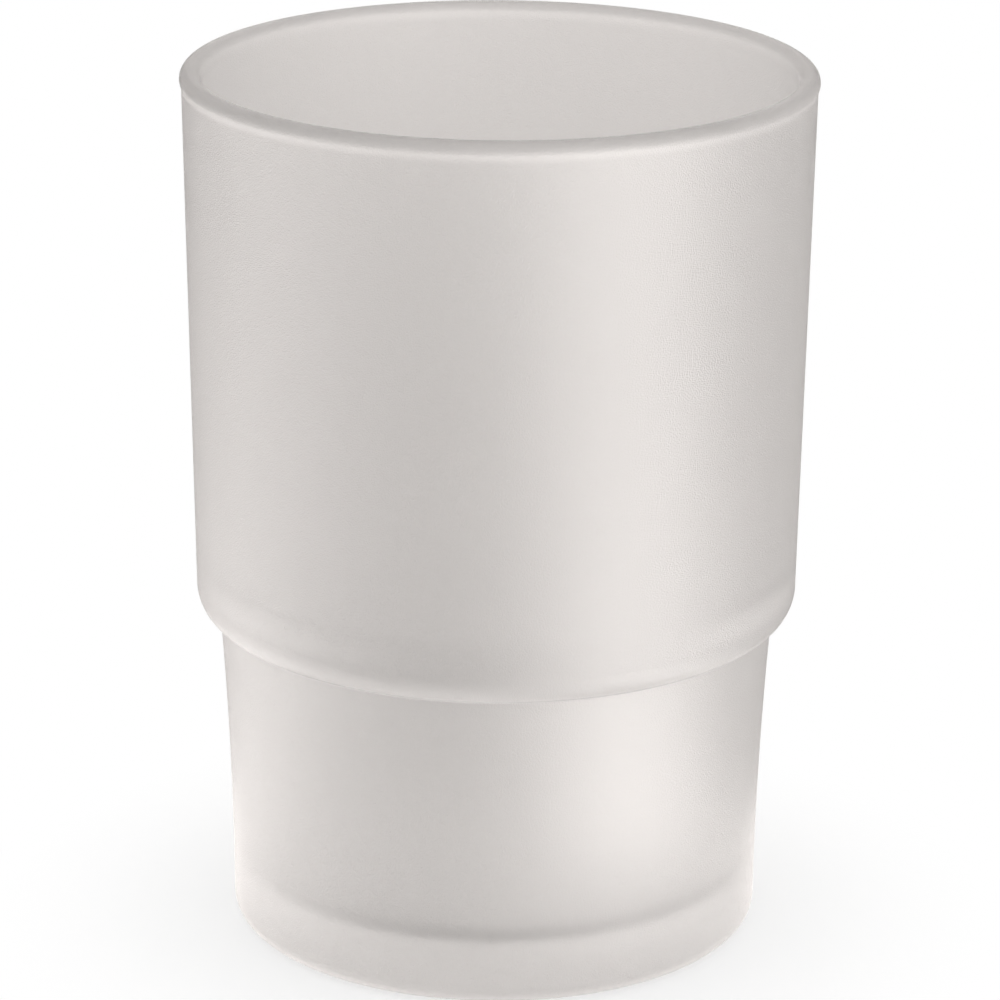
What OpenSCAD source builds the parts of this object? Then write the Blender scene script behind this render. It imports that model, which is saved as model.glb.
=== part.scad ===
// Bathroom tumbler of frosted pressed glass.
// It is one revolved piece: a wide upper body that ends in a rounded shoulder,
// a narrower neck below it that drops into a holder ring, and a thick base.
// Every arc of its section is tangent to its neighbours. Heights are above the
// surface that the tumbler stands on, and its axis is Z.

/* [Body] */
// Height from the table to the top of the rim
tumbler_height = 98.7; // [85:0.1:125]
// Outside diameter over the bead of the rim
rim_diameter = 70; // [60:0.5:84]
// Draft of the upper body's outside, in degrees
upper_draft = 1.05; // [0:0.05:2]
// Glass thickness under the bead, from where it grows downwards
upper_wall = 2.1; // [1.7:0.1:3]
// Draft of the bore through the upper body, in degrees
bore_draft = 1.5; // [0:0.05:2.5]

/* [Rim] */
// How far the fire-polished bead stands out of the wall
bead_stand = 0.2; // [0.1:0.05:0.6]
// Radius of the hollow that runs the wall into the bead
bead_hollow = 2.5; // [1:0.1:5]

/* [Shoulder] */
// Height of the crease under the shoulder
crease_height = 36.2; // [28:0.1:45]
// How far the neck is set in from the upper body
shoulder_step = 2.5; // [1.5:0.1:3.2]
// Radius of the shoulder's outer curve
shoulder_radius = 3.85; // [3.2:0.05:6]
// Radius of the crease between the shoulder and the neck
crease_radius = 0.4; // [0.2:0.05:1]
// Height of the sloping stretch of the bore inside the shoulder
slope_height = 7.5; // [5:0.1:12]
// How far that slope reaches below the crease
slope_below = 0.7; // [0:0.1:3]
// Radius that rounds both ends of the slope
slope_radius = 5; // [2:0.1:10]

/* [Neck and base] */
// Glass thickness of the neck, at the crease and at the foot
neck_wall = 2.7; // [2:0.1:3.5]
// How far the neck flares out from its foot to the crease
neck_flare = 1.36; // [0.5:0.01:3]
// Radius of the heel between the neck and the standing ring
heel_radius = 2.4; // [1.5:0.1:4]
// Glass thickness at the middle of the floor, over the punt
floor_thickness = 5; // [3.5:0.1:8]
// Radius between the floor and the wall inside
floor_radius = 3; // [1.5:0.1:6]
// Width of the flat ring that the tumbler stands on
standing_ring = 2; // [1:0.1:4]
// Depth of the punt under the base, at its middle
punt_depth = 1.4; // [0.6:0.1:2.5]
// Radius of the standing ring's inner edge
ring_edge = 0.8; // [0.3:0.1:1.5]

/* [Hidden] */
$fn = 96;
frosted = [0.86, 0.85, 0.84, 0.6];

// Turn of each step along an arc, in degrees, and the fewest steps of an arc
arc_step = 7.5;
least_steps = 5;
// Points nearer to each other than this are one point
hair = 0.001;

// Points of the section are [radius, height]
function unit(v) = v / norm(v);
function heading(angle) = [cos(angle), sin(angle)];
// The direction up a wall that leans out by its draft, and the one out of it
function up_wall(draft) = heading(90 - draft);
function off_wall(draft) = heading(-draft);
// Where the circles round a and b meet, on the right of the way from a to b
function meeting(a, a_r, b, b_r) =
    let (gap = norm(b - a), way = unit(b - a), along = (gap ^ 2 + a_r ^ 2 - b_r ^ 2) / (2 * gap))
    a + along * way - sqrt(a_r ^ 2 - along ^ 2) * [-way.y, way.x];
// A rounded corner p between the ways to a and to b: its centre, then the
// end of its arc towards a, then the one towards b
function corner(a, p, b, radius) =
    let (u = unit(a - p), v = unit(b - p), half = acos(u * v) / 2, reach = radius / tan(half))
    [p + unit(u + v) * radius / sin(half), p + reach * u, p + reach * v];
// Points along the short way round a centre, from a to b
function arc(centre, a, b) =
    let (u = a - centre, v = b - centre, start = atan2(u.y, u.x), turn = atan2(cross(u, v), u * v),
        steps = max(least_steps, ceil(abs(turn) / arc_step)))
    [for (i = [0:steps]) centre + norm(u) * heading(start + turn * i / steps)];
// The points without those that repeat the one before
function once(points) =
    [for (i = [0:len(points) - 1])
        if (i == 0 || norm(points[i] - points[max(i - 1, 0)]) > hair) points[i]];

// The rim is a full round, whose bead touches the bore and the rim's diameter
rim_r = rim_diameter / 2;
bead_r = (upper_wall + bead_stand) / (1 + 1 / cos(bore_draft));
bead = [rim_r - bead_r, tumbler_height - bead_r];
bead_top = [bead.x, tumbler_height];
bead_on_bore = bead - bead_r * off_wall(bore_draft);
// The wall's outer line passes through this point beside the bead
wall_top = [rim_r - bead_stand, bead.y];
function wall_radius(height) = wall_top.x - (wall_top.y - height) * tan(upper_draft);
function bore_radius(height) = bead_on_bore.x - (bead_on_bore.y - height) * tan(bore_draft);
// The hollow under the bead touches the bead and the wall
sunk = bead_r - bead_stand;
hollow_off = bead_hollow + sunk * cos(upper_draft);
hollow_drop = sunk * sin(upper_draft) + sqrt((bead_r + bead_hollow) ^ 2 - hollow_off ^ 2);
hollow = wall_top + bead_hollow * off_wall(upper_draft) - hollow_drop * up_wall(upper_draft);
hollow_on_bead = bead + bead_r * unit(hollow - bead);
hollow_on_wall = hollow - bead_hollow * off_wall(upper_draft);

// The shoulder touches the wall and ends at the crease
neck_top = [wall_radius(crease_height) - shoulder_step, crease_height];
shoulder_off = shoulder_radius - shoulder_step * cos(upper_draft);
shoulder_rise = sqrt(shoulder_radius ^ 2 - shoulder_off ^ 2) - shoulder_step * sin(upper_draft);
shoulder = [wall_radius(crease_height), crease_height]
    - shoulder_radius * off_wall(upper_draft) + shoulder_rise * up_wall(upper_draft);
shoulder_on_wall = shoulder + shoulder_radius * off_wall(upper_draft);

// The neck is one shallow arc, upright at the foot, and its centre is outside
foot_r = neck_top.x - neck_flare;
flare_r = (neck_flare ^ 2 + crease_height ^ 2) / (2 * neck_flare);
flare = [foot_r + flare_r, 0];
// The crease touches the shoulder and the neck
crease = meeting(shoulder, shoulder_radius + crease_radius, flare, flare_r - crease_radius);
crease_on_shoulder = shoulder + shoulder_radius * unit(crease - shoulder);
crease_on_neck = flare + flare_r * unit(crease - flare);
// The heel touches the neck and the table
heel = [flare.x - sqrt((flare_r + heel_radius) ^ 2 - heel_radius ^ 2), heel_radius];
heel_on_neck = flare + flare_r * unit(heel - flare);
heel_on_table = [heel.x, 0];

// The punt is a shallow dome that touches the standing ring's inner edge
punt_top = [0, punt_depth];
ring_inner = [heel.x - standing_ring, ring_edge];
punt_r = (ring_inner.x ^ 2 + punt_depth ^ 2) / (2 * punt_depth) - ring_edge;
punt = punt_top - [0, punt_r];
ring_on_punt = punt + punt_r * unit(ring_inner - punt);
ring_on_table = [ring_inner.x, 0];

// The bore slopes in from the upper body to the neck, and ends at the floor
floor_middle = [0, punt_depth + floor_thickness];
floor_edge = [foot_r - neck_wall, floor_middle.y];
slope_foot = [neck_top.x - neck_wall, crease_height - slope_below];
slope_head = [bore_radius(slope_foot.y + slope_height), slope_foot.y + slope_height];
bore_corners = [
    corner(bead_on_bore, slope_head, slope_foot, slope_radius),
    corner(slope_head, slope_foot, floor_edge, slope_radius),
    corner(slope_foot, floor_edge, floor_middle, floor_radius)];

// The section runs from the punt's middle round the outside, over the rim and
// down the bore
underside = concat(arc(punt, punt_top, ring_on_punt), arc(ring_inner, ring_on_punt, ring_on_table));
neck_side = concat(arc(heel, heel_on_table, heel_on_neck), arc(flare, heel_on_neck, crease_on_neck));
shoulder_side = concat(arc(crease, crease_on_neck, crease_on_shoulder),
    arc(shoulder, crease_on_shoulder, shoulder_on_wall));
rim_side = concat(arc(hollow, hollow_on_wall, hollow_on_bead),
    arc(bead, hollow_on_bead, bead_top), arc(bead, bead_top, bead_on_bore));
bore_side = [for (c = bore_corners) each arc(c[0], c[1], c[2])];

module half_section() {
    polygon(once(concat(underside, neck_side, shoulder_side, rim_side, bore_side, [floor_middle])));
}

module glass_tumbler() {
    color(frosted) rotate_extrude() half_section();
}

glass_tumbler();
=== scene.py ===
"""A frosted glass tumbler on a white studio floor.

The tumbler is one revolved piece of pressed glass. Its section is drawn as a
chain of tangent arcs and straight runs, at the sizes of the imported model, and
is then turned about the axis. Every length is in metres and every angle in
radians. In a section, a point is its radius and its height.
"""

import logging
import math
from dataclasses import dataclass, field
from enum import Enum

import bmesh
import bpy
from mathutils import Matrix, Vector


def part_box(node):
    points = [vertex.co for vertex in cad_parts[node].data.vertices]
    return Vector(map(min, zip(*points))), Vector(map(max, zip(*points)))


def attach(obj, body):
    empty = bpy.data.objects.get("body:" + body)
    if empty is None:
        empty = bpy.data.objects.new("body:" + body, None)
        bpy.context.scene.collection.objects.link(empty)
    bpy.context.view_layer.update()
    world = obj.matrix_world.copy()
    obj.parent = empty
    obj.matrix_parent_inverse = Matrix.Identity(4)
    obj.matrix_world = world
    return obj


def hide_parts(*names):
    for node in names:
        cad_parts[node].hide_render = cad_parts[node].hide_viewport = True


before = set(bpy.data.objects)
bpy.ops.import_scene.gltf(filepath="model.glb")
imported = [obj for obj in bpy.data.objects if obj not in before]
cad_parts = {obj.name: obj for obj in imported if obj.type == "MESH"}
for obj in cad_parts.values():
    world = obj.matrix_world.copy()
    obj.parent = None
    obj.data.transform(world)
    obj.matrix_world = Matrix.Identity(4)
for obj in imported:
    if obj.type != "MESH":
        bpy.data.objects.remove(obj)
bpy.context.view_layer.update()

log = logging.getLogger("tumbler")

Socket = bpy.types.NodeSocket
Colour = tuple[float, float, float]

MM = 0.001
NODE = "glass_tumbler"
BODY = "root"

# Light is reflected often between the rough walls before it leaves the glass.
GLOSSY_BOUNCES = 12


def heading(angle: float) -> Vector:
    """Return the direction at an angle up from level, of length 1."""
    return Vector((math.cos(angle), math.sin(angle)))


def up_wall(draft: float) -> Vector:
    """Return the direction up a wall that leans out by its draft."""
    return heading(math.pi / 2 - draft)


def off_wall(draft: float) -> Vector:
    """Return the direction straight out of a wall that leans out by its draft."""
    return heading(-draft)


@dataclass
class Corner:
    """A rounded corner between two straight runs.

    Attributes:
        centre: Centre of the corner's arc.
        start: Where the arc touches the first run.
        end: Where the arc touches the second run.
    """

    centre: Vector
    start: Vector
    end: Vector

    @classmethod
    def between(cls, before: Vector, point: Vector, after: Vector, radius: float) -> "Corner":
        """Round a corner.

        Args:
            before: A point on the run into the corner.
            point: The sharp corner.
            after: A point on the run out of the corner.
            radius: Radius of the arc.

        Returns:
            The corner whose arc touches both runs.
        """
        back = (before - point).normalized()
        on = (after - point).normalized()
        half = math.acos(back.dot(on)) / 2
        reach = radius / math.tan(half)
        middle = (back + on).normalized() * radius / math.sin(half)
        return cls(point + middle, point + back * reach, point + on * reach)


@dataclass
class SectionPen:
    """Draws a section in the XZ plane, one run after another.

    Attributes:
        mesh: The mesh that the section is drawn in.
        start: The first point.
        arc_step: The most that one edge of an arc turns.
        least_steps: The fewest edges of an arc.
        tip: The last point drawn, in the mesh.
    """

    mesh: bmesh.types.BMesh
    start: Vector
    arc_step: float = math.radians(4)
    least_steps: int = 8
    tip: bmesh.types.BMVert = field(init=False)

    def __post_init__(self) -> None:
        """Put the first point down."""
        self.tip = self.mesh.verts.new(self.place(self.start))

    @property
    def at(self) -> Vector:
        """The point of the section that the pen is at."""
        return Vector((self.tip.co.x, self.tip.co.z))

    @staticmethod
    def place(point: Vector) -> Vector:
        """Return the place in space of a point of the section."""
        return Vector((point.x, 0, point.y))

    def line_to(self, end: Vector, steps: int = 1) -> None:
        """Draw a straight run.

        Args:
            end: Where the run ends.
            steps: How many edges the run has.
        """
        begin = self.tip.co.copy()
        for step in range(1, steps + 1):
            made = bmesh.ops.extrude_vert_indiv(self.mesh, verts=[self.tip])
            self.tip = made["verts"][0]
            self.tip.co = begin.lerp(self.place(end), step / steps)

    def arc_to(self, centre: Vector, end: Vector) -> None:
        """Draw an arc the short way round its centre.

        Args:
            centre: Centre of the arc.
            end: Where the arc ends.
        """
        turn = -(self.at - centre).angle_signed(end - centre)
        steps = max(self.least_steps, math.ceil(abs(turn) / self.arc_step))
        made = bmesh.ops.spin(
            self.mesh,
            geom=[self.tip],
            cent=self.place(centre),
            axis=(0, -1, 0),
            angle=turn,
            steps=steps,
        )
        self.tip = next(e for e in made["geom_last"] if isinstance(e, bmesh.types.BMVert))


@dataclass
class Section:
    """The tumbler's half section.

    Attributes:
        height: Height of the rim's top.
        rim_radius: Outside radius over the rim's bead.
        upper_draft: How far the upper body's outside leans out.
        bore_draft: How far its inside leans out.
        upper_wall: Thickness of the wall under the rim.
        bead_stand: How far the rim's bead stands out of the wall.
        bead_hollow: Radius of the hollow between the bead and the wall.
        crease_height: Height of the crease between the shoulder and the neck.
        shoulder_step: How far the neck is set in from the upper body.
        shoulder_radius: Radius of the shoulder.
        crease_radius: Radius of the crease.
        slope_height: Height of the slope inside the shoulder.
        slope_below: How far under the crease the slope starts.
        slope_radius: Radius of the bends at both ends of the slope.
        neck_wall: Thickness of the neck's wall.
        neck_flare: How much wider the neck is at the crease than at the foot.
        heel_radius: Radius of the heel.
        floor_thickness: Thickness of the floor over the punt.
        floor_radius: Radius between the bore and the floor.
        standing_ring: Width of the flat ring that it stands on.
        punt_depth: Depth of the punt under the base.
        ring_edge: Radius of the standing ring's inner edge.
        wall_steps: How many edges a long run of the wall has.
        floor_steps: How many edges the flat of the floor has.
    """

    height: float
    rim_radius: float
    upper_draft: float = math.radians(1.05)
    bore_draft: float = math.radians(1.5)
    upper_wall: float = 2.1 * MM
    bead_stand: float = 0.2 * MM
    bead_hollow: float = 2.5 * MM
    crease_height: float = 36.2 * MM
    shoulder_step: float = 2.5 * MM
    shoulder_radius: float = 3.85 * MM
    crease_radius: float = 0.4 * MM
    slope_height: float = 7.5 * MM
    slope_below: float = 0.7 * MM
    slope_radius: float = 5 * MM
    neck_wall: float = 2.7 * MM
    neck_flare: float = 1.36 * MM
    heel_radius: float = 2.4 * MM
    floor_thickness: float = 5 * MM
    floor_radius: float = 3 * MM
    standing_ring: float = 2 * MM
    punt_depth: float = 1.4 * MM
    ring_edge: float = 0.8 * MM
    wall_steps: int = 24
    floor_steps: int = 12

    @property
    def bead_radius(self) -> float:
        """Radius of the rim's full round, which spans the wall and the bead's stand."""
        return (self.upper_wall + self.bead_stand) / (1 + 1 / math.cos(self.bore_draft))

    @property
    def bead(self) -> Vector:
        """Centre of the rim's full round."""
        return Vector((self.rim_radius - self.bead_radius, self.height - self.bead_radius))

    def wall_radius(self, height: float) -> float:
        """Return the outside radius of the upper body's wall at a height."""
        drop = self.bead.y - height
        return self.rim_radius - self.bead_stand - drop * math.tan(self.upper_draft)

    def bore_radius(self, height: float) -> float:
        """Return the inside radius of the upper body's wall at a height."""
        touch = self.bead - self.bead_radius * off_wall(self.bore_draft)
        return touch.x - (touch.y - height) * math.tan(self.bore_draft)

    def draw_base(self, pen: SectionPen, heel: Vector) -> None:
        """Draw the underside, from the punt's middle to the heel.

        Args:
            pen: The pen, at the punt's middle.
            heel: Centre of the heel's arc.
        """
        edge = Vector((heel.x - self.standing_ring, self.ring_edge))
        dome = (edge.x**2 + self.punt_depth**2) / (2 * self.punt_depth) - self.ring_edge
        punt = Vector((0, self.punt_depth - dome))
        pen.arc_to(punt, punt + dome * (edge - punt).normalized())
        pen.arc_to(edge, Vector((edge.x, 0)))
        pen.line_to(Vector((heel.x, 0)))

    def draw_outside(
        self, pen: SectionPen, flare: Vector, flare_radius: float, heel: Vector
    ) -> None:
        """Draw the heel, the neck, the crease, the shoulder and the wall.

        Args:
            pen: The pen, where the standing ring meets the heel.
            flare: Centre of the neck's shallow arc.
            flare_radius: Radius of the neck's shallow arc.
            heel: Centre of the heel's arc.
        """
        out = off_wall(self.upper_draft)
        up = up_wall(self.upper_draft)
        inset = self.shoulder_radius - self.shoulder_step * math.cos(self.upper_draft)
        rise = math.sqrt(self.shoulder_radius**2 - inset**2)
        rise -= self.shoulder_step * math.sin(self.upper_draft)
        wall_foot = Vector((self.wall_radius(self.crease_height), self.crease_height))
        shoulder = wall_foot - self.shoulder_radius * out + rise * up
        crease = self.meeting(
            shoulder,
            self.shoulder_radius + self.crease_radius,
            flare,
            flare_radius - self.crease_radius,
        )
        on_neck = flare + flare_radius * (crease - flare).normalized()
        on_shoulder = shoulder + self.shoulder_radius * (crease - shoulder).normalized()
        pen.arc_to(heel, flare + flare_radius * (heel - flare).normalized())
        self.draw_flare(pen, flare, flare_radius, on_neck)
        pen.arc_to(crease, on_shoulder)
        pen.arc_to(shoulder, shoulder + self.shoulder_radius * out)

    def draw_flare(self, pen: SectionPen, flare: Vector, flare_radius: float, end: Vector) -> None:
        """Draw the neck's shallow arc in even stretches.

        Args:
            pen: The pen, where the heel meets the neck.
            flare: Centre of the arc.
            flare_radius: Radius of the arc.
            end: Where the arc ends, at the crease.
        """
        begin = pen.at - flare
        turn = -begin.angle_signed(end - flare)
        first = math.atan2(begin.y, begin.x)
        for step in range(1, self.wall_steps + 1):
            pen.line_to(flare + flare_radius * heading(first + turn * step / self.wall_steps))

    @staticmethod
    def meeting(a: Vector, a_radius: float, b: Vector, b_radius: float) -> Vector:
        """Find where two circles meet, on the right of the way from one to the other.

        Args:
            a: Centre of the first circle.
            a_radius: Radius of the first circle.
            b: Centre of the second circle.
            b_radius: Radius of the second circle.

        Returns:
            The point on both circles.
        """
        gap = (b - a).length
        way = (b - a).normalized()
        along = (gap**2 + a_radius**2 - b_radius**2) / (2 * gap)
        aside = math.sqrt(a_radius**2 - along**2)
        return a + along * way - aside * Vector((-way.y, way.x))

    def draw_rim(self, pen: SectionPen) -> None:
        """Draw the wall up to the hollow, the hollow and the bead's full round.

        Args:
            pen: The pen, where the shoulder meets the wall.
        """
        out = off_wall(self.upper_draft)
        sunk = self.bead_radius - self.bead_stand
        off = self.bead_hollow + sunk * math.cos(self.upper_draft)
        drop = sunk * math.sin(self.upper_draft)
        drop += math.sqrt((self.bead_radius + self.bead_hollow) ** 2 - off**2)
        wall_top = Vector((self.rim_radius - self.bead_stand, self.bead.y))
        hollow = wall_top + self.bead_hollow * out - drop * up_wall(self.upper_draft)
        pen.line_to(hollow - self.bead_hollow * out, self.wall_steps)
        pen.arc_to(hollow, self.bead + self.bead_radius * (hollow - self.bead).normalized())
        pen.arc_to(self.bead, Vector((self.bead.x, self.height)))
        pen.arc_to(self.bead, self.bead - self.bead_radius * off_wall(self.bore_draft))

    def draw_bore(self, pen: SectionPen, foot_radius: float) -> None:
        """Draw the bore, from the rim to the middle of the floor.

        Args:
            pen: The pen, where the rim meets the bore.
            foot_radius: Outside radius of the neck at the table.
        """
        middle = Vector((0, self.punt_depth + self.floor_thickness))
        edge = Vector((foot_radius - self.neck_wall, middle.y))
        neck_top = self.wall_radius(self.crease_height) - self.shoulder_step
        slope_foot = Vector((neck_top - self.neck_wall, self.crease_height - self.slope_below))
        head_height = slope_foot.y + self.slope_height
        slope_head = Vector((self.bore_radius(head_height), head_height))
        corners = [
            (Corner.between(pen.at, slope_head, slope_foot, self.slope_radius), self.wall_steps),
            (Corner.between(slope_head, slope_foot, edge, self.slope_radius), 1),
            (Corner.between(slope_foot, edge, middle, self.floor_radius), self.wall_steps),
        ]
        for corner, steps in corners:
            pen.line_to(corner.start, steps)
            pen.arc_to(corner.centre, corner.end)
        pen.line_to(middle, self.floor_steps)

    def draw(self, mesh: bmesh.types.BMesh) -> None:
        """Draw the whole section, round the outside, over the rim and down the bore.

        Args:
            mesh: The mesh that the section is drawn in.
        """
        foot_radius = self.wall_radius(self.crease_height) - self.shoulder_step - self.neck_flare
        flare_radius = (self.neck_flare**2 + self.crease_height**2) / (2 * self.neck_flare)
        flare = Vector((foot_radius + flare_radius, 0))
        reach = math.sqrt((flare_radius + self.heel_radius) ** 2 - self.heel_radius**2)
        heel = Vector((flare.x - reach, self.heel_radius))
        pen = SectionPen(mesh, Vector((0, self.punt_depth)))
        self.draw_base(pen, heel)
        self.draw_outside(pen, flare, flare_radius, heel)
        self.draw_rim(pen)
        self.draw_bore(pen, foot_radius)


class Ray(Enum):
    """The kinds of ray that a surface or the world can be shown to."""

    CAMERA = "Is Camera Ray"
    GLOSSY = "Is Glossy Ray"
    TRANSMISSION = "Is Transmission Ray"


@dataclass
class ShaderGraph:
    """Adds and joins the nodes of a material or of the world.

    Attributes:
        tree: The node tree, emptied when the graph is made.
    """

    tree: bpy.types.NodeTree

    def __post_init__(self) -> None:
        """Empty the tree."""
        self.tree.nodes.clear()

    def add(self, kind: str, settings: dict | None = None, **inputs: object) -> bpy.types.Node:
        """Add a node.

        Args:
            kind: The node's type name.
            settings: Properties of the node itself.
            **inputs: Values or sockets for its inputs, with _ for a space. A
                name such as in_0 is an input by its place.

        Returns:
            The node.
        """
        node = self.tree.nodes.new(kind)
        for name, value in (settings or {}).items():
            setattr(node, name, value)
        for name, value in inputs.items():
            place = int(name[3:]) if name.startswith("in_") else name.replace("_", " ")
            if isinstance(value, Socket):
                self.tree.links.new(value, node.inputs[place])
            else:
                node.inputs[place].default_value = value
        return node

    def maths(self, operation: str, *values: object) -> Socket:
        """Add a Math node.

        Args:
            operation: What the node works out.
            *values: Its numbers or sockets.

        Returns:
            The result's socket.
        """
        inputs = {f"in_{i}": value for i, value in enumerate(values)}
        return self.add("ShaderNodeMath", {"operation": operation}, **inputs).outputs[0]

    def smooth_step(self, value: Socket, low: float, high: float) -> Socket:
        """Return a socket that rises smoothly from 0 at the low value to 1 at the high one."""
        step = {"interpolation_type": "SMOOTHSTEP"}
        made = self.add("ShaderNodeMapRange", step, Value=value, From_Min=low, From_Max=high)
        return made.outputs["Result"]

    def blend(self, share: Socket, at_none: object, at_all: object) -> Socket:
        """Return a socket that passes from one number or socket to another."""
        mixed = {"data_type": "FLOAT"}
        return self.add("ShaderNodeMix", mixed, in_0=share, in_2=at_none, in_3=at_all).outputs[0]

    def vector(self, operation: str, *values: object) -> bpy.types.Node:
        """Add a Vector Math node.

        Args:
            operation: What the node works out.
            *values: Its vectors or sockets.

        Returns:
            The node, with a Vector and a Value.
        """
        inputs = {f"in_{i}": value for i, value in enumerate(values)}
        return self.add("ShaderNodeVectorMath", {"operation": operation}, **inputs)

    def shine(self, kind: str, level: object, hue: Colour) -> Socket:
        """Return an emission or background of a hue and a level, a number or a socket."""
        return self.add(kind, Color=(*hue, 1), Strength=level).outputs[0]

    def by_ray(
        self,
        matt: Socket,
        seen: Socket,
        mirrored: Socket,
        through: Socket,
    ) -> Socket:
        """Show each kind of ray its own shader.

        Args:
            matt: What lights matt surfaces.
            seen: What the camera sees.
            mirrored: What reflections show.
            through: What shows through the glass.

        Returns:
            The shader for all of them.
        """
        path = self.add("ShaderNodeLightPath")
        mixed = matt
        kinds = ((Ray.CAMERA, seen), (Ray.GLOSSY, mirrored), (Ray.TRANSMISSION, through))
        for kind, shader in kinds:
            share = path.outputs[kind.value]
            mixed = self.add("ShaderNodeMixShader", Fac=share, in_1=mixed, in_2=shader).outputs[0]
        return mixed

    def finish(self, kind: str, surface: Socket) -> bpy.types.Node:
        """Add the output node and join the surface to it."""
        return self.add(kind, Surface=surface)


@dataclass(frozen=True)
class FrostedGlass:
    """Acid-frosted soda-lime glass, a little rougher round the rim.

    Attributes:
        name: The material's name.
        tint: What a surface keeps of the light that goes through it.
        roughness: How far the frosting scatters light, from 0 to 1.
        rim_roughness: How far the rim scatters light.
        rim_low: Height at which the rim's roughness starts.
        rim_high: Height from which the rim's roughness is whole.
        ior: Index of refraction.
        pit_size: How far apart the pits of the etching are.
        pit_depth: How deep the pits read in a highlight.
        pit_strength: How much of that depth is used.
    """

    name: str = "frosted_glass"
    tint: Colour = (0.98, 0.98, 0.98)
    roughness: float = 0.38
    rim_roughness: float = 0.5
    rim_low: float = 96.0 * MM
    rim_high: float = 97.0 * MM
    ior: float = 1.52
    pit_size: float = 0.16 * MM
    pit_depth: float = 0.03 * MM
    pit_strength: float = 1.0

    def material(self) -> bpy.types.Material:
        """Return the finish as a material on Object coordinates."""
        made = bpy.data.materials.new(self.name)
        made.use_nodes = True
        graph = ShaderGraph(made.node_tree)
        place = graph.add("ShaderNodeTexCoord").outputs["Object"]
        height = graph.add("ShaderNodeSeparateXYZ", Vector=place).outputs["Z"]
        rim = graph.smooth_step(height, self.rim_low, self.rim_high)
        pits = graph.add("ShaderNodeTexVoronoi", Vector=place, Scale=1 / self.pit_size)
        bump = graph.add(
            "ShaderNodeBump",
            Height=pits.outputs["Distance"],
            Strength=self.pit_strength,
            Distance=self.pit_depth,
        )
        glass = graph.add(
            "ShaderNodeBsdfPrincipled",
            Base_Color=(*self.tint, 1),
            Roughness=graph.blend(rim, self.roughness, self.rim_roughness),
            IOR=self.ior,
            Transmission_Weight=1.0,
            Normal=bump.outputs["Normal"],
        )
        graph.finish("ShaderNodeOutputMaterial", glass.outputs["BSDF"])
        return made


@dataclass
class GlassTumbler:
    """The tumbler, as one revolved mesh.

    Attributes:
        section: Its half section.
        finish: The finish of all its surfaces.
        turn_steps: How many faces go round it.
        weld: Points nearer to each other than this are one point.
    """

    section: Section
    finish: FrostedGlass
    turn_steps: int = 288
    weld: float = 0.001 * MM

    @staticmethod
    def put_in_order(mesh: bmesh.types.BMesh) -> None:
        """Sort a mesh's points by place, and its edges and faces by their points.

        Turning a section leaves them in an order that differs from run to run.

        Args:
            mesh: The mesh, which keeps its shape.
        """

        def corners(part: bmesh.types.BMEdge | bmesh.types.BMFace) -> list[int]:
            return sorted(point.index for point in part.verts)

        for parts, key in (
            (mesh.verts, lambda point: point.co[:]),
            (mesh.edges, corners),
            (mesh.faces, corners),
        ):
            ranks = {part: rank for rank, part in enumerate(sorted(parts, key=key))}
            parts.sort(key=ranks.get)
            parts.index_update()

    def build(self) -> bpy.types.Object:
        """Turn the section, close its poles, and dress the mesh."""
        mesh = bmesh.new()
        self.section.draw(mesh)
        bmesh.ops.spin(
            mesh,
            geom=mesh.verts[:] + mesh.edges[:],
            cent=(0, 0, 0),
            axis=(0, 0, 1),
            angle=math.tau,
            steps=self.turn_steps,
            use_merge=True,
        )
        bmesh.ops.remove_doubles(mesh, verts=mesh.verts, dist=self.weld)
        bmesh.ops.recalc_face_normals(mesh, faces=mesh.faces)
        self.put_in_order(mesh)
        for face in mesh.faces:
            face.smooth = True
        data = bpy.data.meshes.new("tumbler")
        mesh.to_mesh(data)
        mesh.free()
        data.materials.append(self.finish.material())
        piece = bpy.data.objects.new("tumbler", data)
        bpy.context.scene.collection.objects.link(piece)
        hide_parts(NODE)
        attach(piece, BODY)
        log.info("%s: %d vertices, %d faces", piece.name, len(data.vertices), len(data.polygons))
        return piece


@dataclass
class PhotoCamera:
    """The camera at the photograph's viewing angle.

    Attributes:
        distance: How far in front of the axis it stands.
        height: How high above the table it stands.
        pitch: How far it looks up from level.
        yaw: How far it turns to the right.
        roll: How far its picture turns.
        focal_pixels: Focal length in pixels of the picture.
        picture: Width of the picture in pixels.
        sensor: Width of the sensor in millimetres.
        near_clip: Nothing nearer to the camera than this is seen.
    """

    distance: float = 510.342 * MM
    height: float = 216.213 * MM
    pitch: float = math.radians(-18.1563)
    yaw: float = math.radians(0.041)
    roll: float = math.radians(0.4425)
    focal_pixels: float = 4776.96
    picture: int = 1000
    sensor: float = 36.0
    near_clip: float = 10 * MM

    def build(self) -> bpy.types.Object:
        """Add the camera and make it the scene's own."""
        along = math.cos(self.pitch)
        forward = Vector(
            (along * math.sin(self.yaw), along * math.cos(self.yaw), math.sin(self.pitch))
        )
        level = forward.cross(Vector((0, 0, 1))).normalized()
        upright = level.cross(forward)
        right = math.cos(self.roll) * level + math.sin(self.roll) * upright
        up = math.cos(self.roll) * upright - math.sin(self.roll) * level
        data = bpy.data.cameras.new("camera")
        data.sensor_width = self.sensor
        data.lens = self.focal_pixels * self.sensor / self.picture
        data.clip_start = self.near_clip
        camera = bpy.data.objects.new("camera", data)
        turn = Matrix((right, up, -forward)).transposed()
        camera.matrix_world = Matrix.Translation((0, -self.distance, self.height)) @ turn.to_4x4()
        bpy.context.scene.collection.objects.link(camera)
        bpy.context.scene.camera = camera
        return camera


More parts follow.
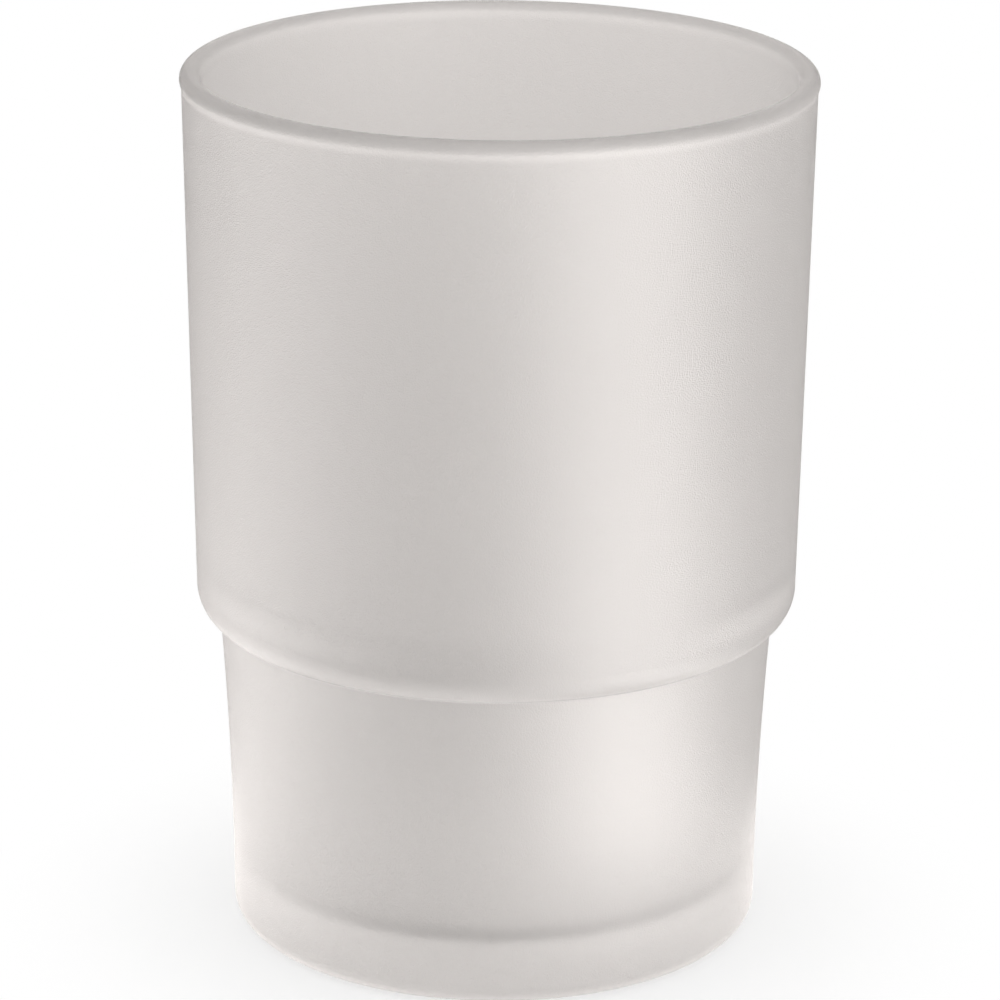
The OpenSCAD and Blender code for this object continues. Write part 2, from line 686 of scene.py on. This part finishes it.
@dataclass(frozen=True)
class Glow:
    """A soft glow, or with strengths below zero a soft shade, low on one side.

    Attributes:
        azimuth: Where its middle is, round from the camera to the right.
        narrowness: How fast it falls off to both sides.
        near: What it adds at its middle to the floor round the tumbler, where 1 is white.
        far: What it adds there to the floor far out.
        wall: What it adds there to the walls.
    """

    azimuth: float
    narrowness: float
    near: float
    far: float
    wall: float

    def falloff(self, graph: ShaderGraph, way: Socket) -> Socket:
        """Return its share, from 0 to 1, in a level direction of length 1."""
        middle = (math.sin(self.azimuth), -math.cos(self.azimuth), 0)
        towards = graph.vector("DOT_PRODUCT", way, middle).outputs["Value"]
        return graph.maths("POWER", graph.maths("MAXIMUM", towards, 0.0), self.narrowness)


@dataclass(frozen=True)
class Surroundings:
    """How bright the studio is for one kind of ray, where 1 is white.

    Attributes:
        foot: Level of the floor by the tumbler.
        foot_radius: How far from the axis that level is whole.
        floor_radius: How far from the axis that level has ended.
        floor: Level of the floor round the tumbler.
        far: Level of the floor far out.
        sky: Level of the walls round the studio.
        overhead: Level of the ceiling.
        glows: The glows on the floor and the walls.
        halo: Level of the floor just outside the foot, or none for its own.
        hue: The warm white of all of it.
        low: The sine of the elevation at which the walls start to pass into the ceiling.
        high: The sine of the elevation at which the ceiling is whole.
        far_start: How far from the axis the floor starts to pass into its far level.
        far_end: How far from the axis the far level is whole.
        halo_start: How far from the axis the halo starts to fade.
        halo_end: How far from the axis the halo has ended.
    """

    foot: float
    foot_radius: float
    floor_radius: float
    floor: float
    far: float
    sky: float
    overhead: float
    glows: tuple[Glow, ...]
    halo: float | None = None
    hue: Colour = (1.041, 0.991, 0.96)
    low: float = 0.6
    high: float = 0.95
    far_start: float = 300 * MM
    far_end: float = 500 * MM
    halo_start: float = 36 * MM
    halo_end: float = 66 * MM

    @staticmethod
    def level_way(graph: ShaderGraph, place: Socket) -> Socket:
        """Return the level direction to a place, of length 1."""
        flat = graph.vector("MULTIPLY", place, (1, 1, 0)).outputs["Vector"]
        return graph.vector("NORMALIZE", flat).outputs["Vector"]

    def on_floor(self, graph: ShaderGraph, place: Socket) -> Socket:
        """Return the level at a place on the floor."""
        radius = graph.vector("LENGTH", place).outputs["Value"]
        away = graph.smooth_step(radius, self.foot_radius, self.floor_radius)
        out = graph.smooth_step(radius, self.far_start, self.far_end)
        way = self.level_way(graph, place)
        level = graph.blend(out, self.floor, self.far)
        for glow in self.glows:
            share = glow.falloff(graph, way)
            level = graph.maths("MULTIPLY_ADD", share, graph.blend(out, glow.near, glow.far), level)
        if self.halo is not None:
            faded = graph.smooth_step(radius, self.halo_start, self.halo_end)
            level = graph.blend(faded, self.halo, level)
        return graph.blend(away, self.foot, level)

    def in_sky(self, graph: ShaderGraph, place: Socket) -> Socket:
        """Return the level in a direction above the floor."""
        rise = graph.add("ShaderNodeSeparateXYZ", Vector=place).outputs["Z"]
        up = graph.smooth_step(rise, self.low, self.high)
        way = self.level_way(graph, place)
        level = self.sky
        for glow in self.glows:
            level = graph.maths("MULTIPLY_ADD", glow.falloff(graph, way), glow.wall, level)
        return graph.blend(up, level, self.overhead)


# What the glass reflects.
REFLECTED = Surroundings(
    foot=0.4,
    foot_radius=26 * MM,
    floor_radius=32 * MM,
    halo=2.2,
    floor=0.5,
    far=0.1,
    sky=0.15,
    overhead=2.0,
    glows=(
        Glow(math.radians(46.5), 5.4, near=8.0, far=5.0, wall=3.2),
        Glow(math.radians(273), 4.2, near=3.7, far=0.4, wall=0.37),
        Glow(math.pi, 10.0, near=0.0, far=0.0, wall=1.2),
    ),
)
# What shows through the glass.
TRANSMITTED = Surroundings(
    foot=0.62,
    foot_radius=10 * MM,
    floor_radius=22 * MM,
    floor=0.49,
    far=0.765,
    sky=0.85,
    overhead=1.1,
    glows=(
        Glow(math.radians(120.6), 7.2, near=0.8, far=0.0, wall=0.96),
        Glow(math.radians(256.5), 2.0, near=0.29, far=0.0, wall=0.35),
        Glow(0.0, 1.0, near=-0.085, far=0.0, wall=-0.1),
    ),
)


@dataclass
class Studio:
    """A white floor and surround, with other levels in and through the glass.

    Attributes:
        radius: Radius of the round floor.
        segments: How many edges the floor has.
        gap: How far the floor lies under the standing ring.
        paint: What the floor keeps of the light.
        ambient: Strength of the surround as light on matt surfaces.
        seen: Strength of the surround for the camera, where 1 is white.
        white: The white that the camera sees round the tumbler.
        shading: How much of its own shading the floor shows by the tumbler.
        shading_radius: How far from the axis that share is whole.
        white_radius: How far from the axis the floor has become plain white.
    """

    radius: float = 4.0
    segments: int = 96
    gap: float = 0.02 * MM
    paint: Colour = (0.98, 0.98, 0.98)
    ambient: float = 1.0
    seen: float = 1.0
    white: Colour = (1.0, 1.0, 1.0)
    shading: float = 0.4
    shading_radius: float = 28 * MM
    white_radius: float = 60 * MM

    def floor_paint(self) -> bpy.types.Material:
        """Return the floor's material."""
        made = bpy.data.materials.new("floor_paint")
        made.use_nodes = True
        # Light Path tells the kinds of ray apart only where a ray finds the light by itself,
        # so neither the floor nor the world is sampled as a lamp.
        made.cycles.emission_sampling = "NONE"
        graph = ShaderGraph(made.node_tree)
        place = graph.add("ShaderNodeTexCoord").outputs["Object"]
        radius = graph.vector("LENGTH", place).outputs["Value"]
        away = graph.smooth_step(radius, self.shading_radius, self.white_radius)
        white_share = graph.blend(away, 1 - self.shading, 1.0)
        matt = graph.add("ShaderNodeBsdfDiffuse", Color=(*self.paint, 1)).outputs[0]
        white = graph.shine("ShaderNodeEmission", self.seen, self.white)
        mirrored, through = (
            graph.shine("ShaderNodeEmission", around.on_floor(graph, place), around.hue)
            for around in (REFLECTED, TRANSMITTED)
        )
        seen = graph.add("ShaderNodeMixShader", Fac=white_share, in_1=matt, in_2=white).outputs[0]
        graph.finish("ShaderNodeOutputMaterial", graph.by_ray(matt, seen, mirrored, through))
        return made

    def floor(self) -> bpy.types.Object:
        """Add the floor, which isn't part of the object."""
        mesh = bmesh.new()
        bmesh.ops.create_circle(mesh, cap_ends=True, radius=self.radius, segments=self.segments)
        bmesh.ops.translate(mesh, verts=mesh.verts, vec=(0, 0, -self.gap))
        data = bpy.data.meshes.new("floor")
        mesh.to_mesh(data)
        mesh.free()
        data.materials.append(self.floor_paint())
        floor = bpy.data.objects.new("floor", data)
        bpy.context.scene.collection.objects.link(floor)
        return floor

    def surround(self) -> None:
        """Give the world a white background and its own level for each kind of ray."""
        world = bpy.data.worlds.new("studio")
        world.use_nodes = True
        world.cycles.sampling_method = "NONE"
        bpy.context.scene.world = world
        graph = ShaderGraph(world.node_tree)
        way = graph.add("ShaderNodeTexCoord").outputs["Generated"]
        matt = graph.shine("ShaderNodeBackground", self.ambient, self.white)
        seen = graph.shine("ShaderNodeBackground", self.seen, self.white)
        mirrored, through = (
            graph.shine("ShaderNodeBackground", around.in_sky(graph, way), around.hue)
            for around in (REFLECTED, TRANSMITTED)
        )
        graph.finish("ShaderNodeOutputWorld", graph.by_ray(matt, seen, mirrored, through))

    def build(self) -> None:
        """Add the floor and the surround."""
        self.floor()
        self.surround()


def main() -> None:
    """Build the camera, the tumbler and the studio, and log the tumbler's vertex and face counts.
    """
    logging.basicConfig(level=logging.INFO, format="%(name)s: %(message)s")
    bpy.context.scene.view_settings.view_transform = "Standard"
    bpy.context.scene.cycles.glossy_bounces = GLOSSY_BOUNCES
    low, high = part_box(NODE)
    PhotoCamera().build()
    section = Section(height=high.z - low.z, rim_radius=(high.x - low.x) / 2)
    GlassTumbler(section, FrostedGlass()).build()
    Studio().build()


if __name__ == "__main__":
    main()
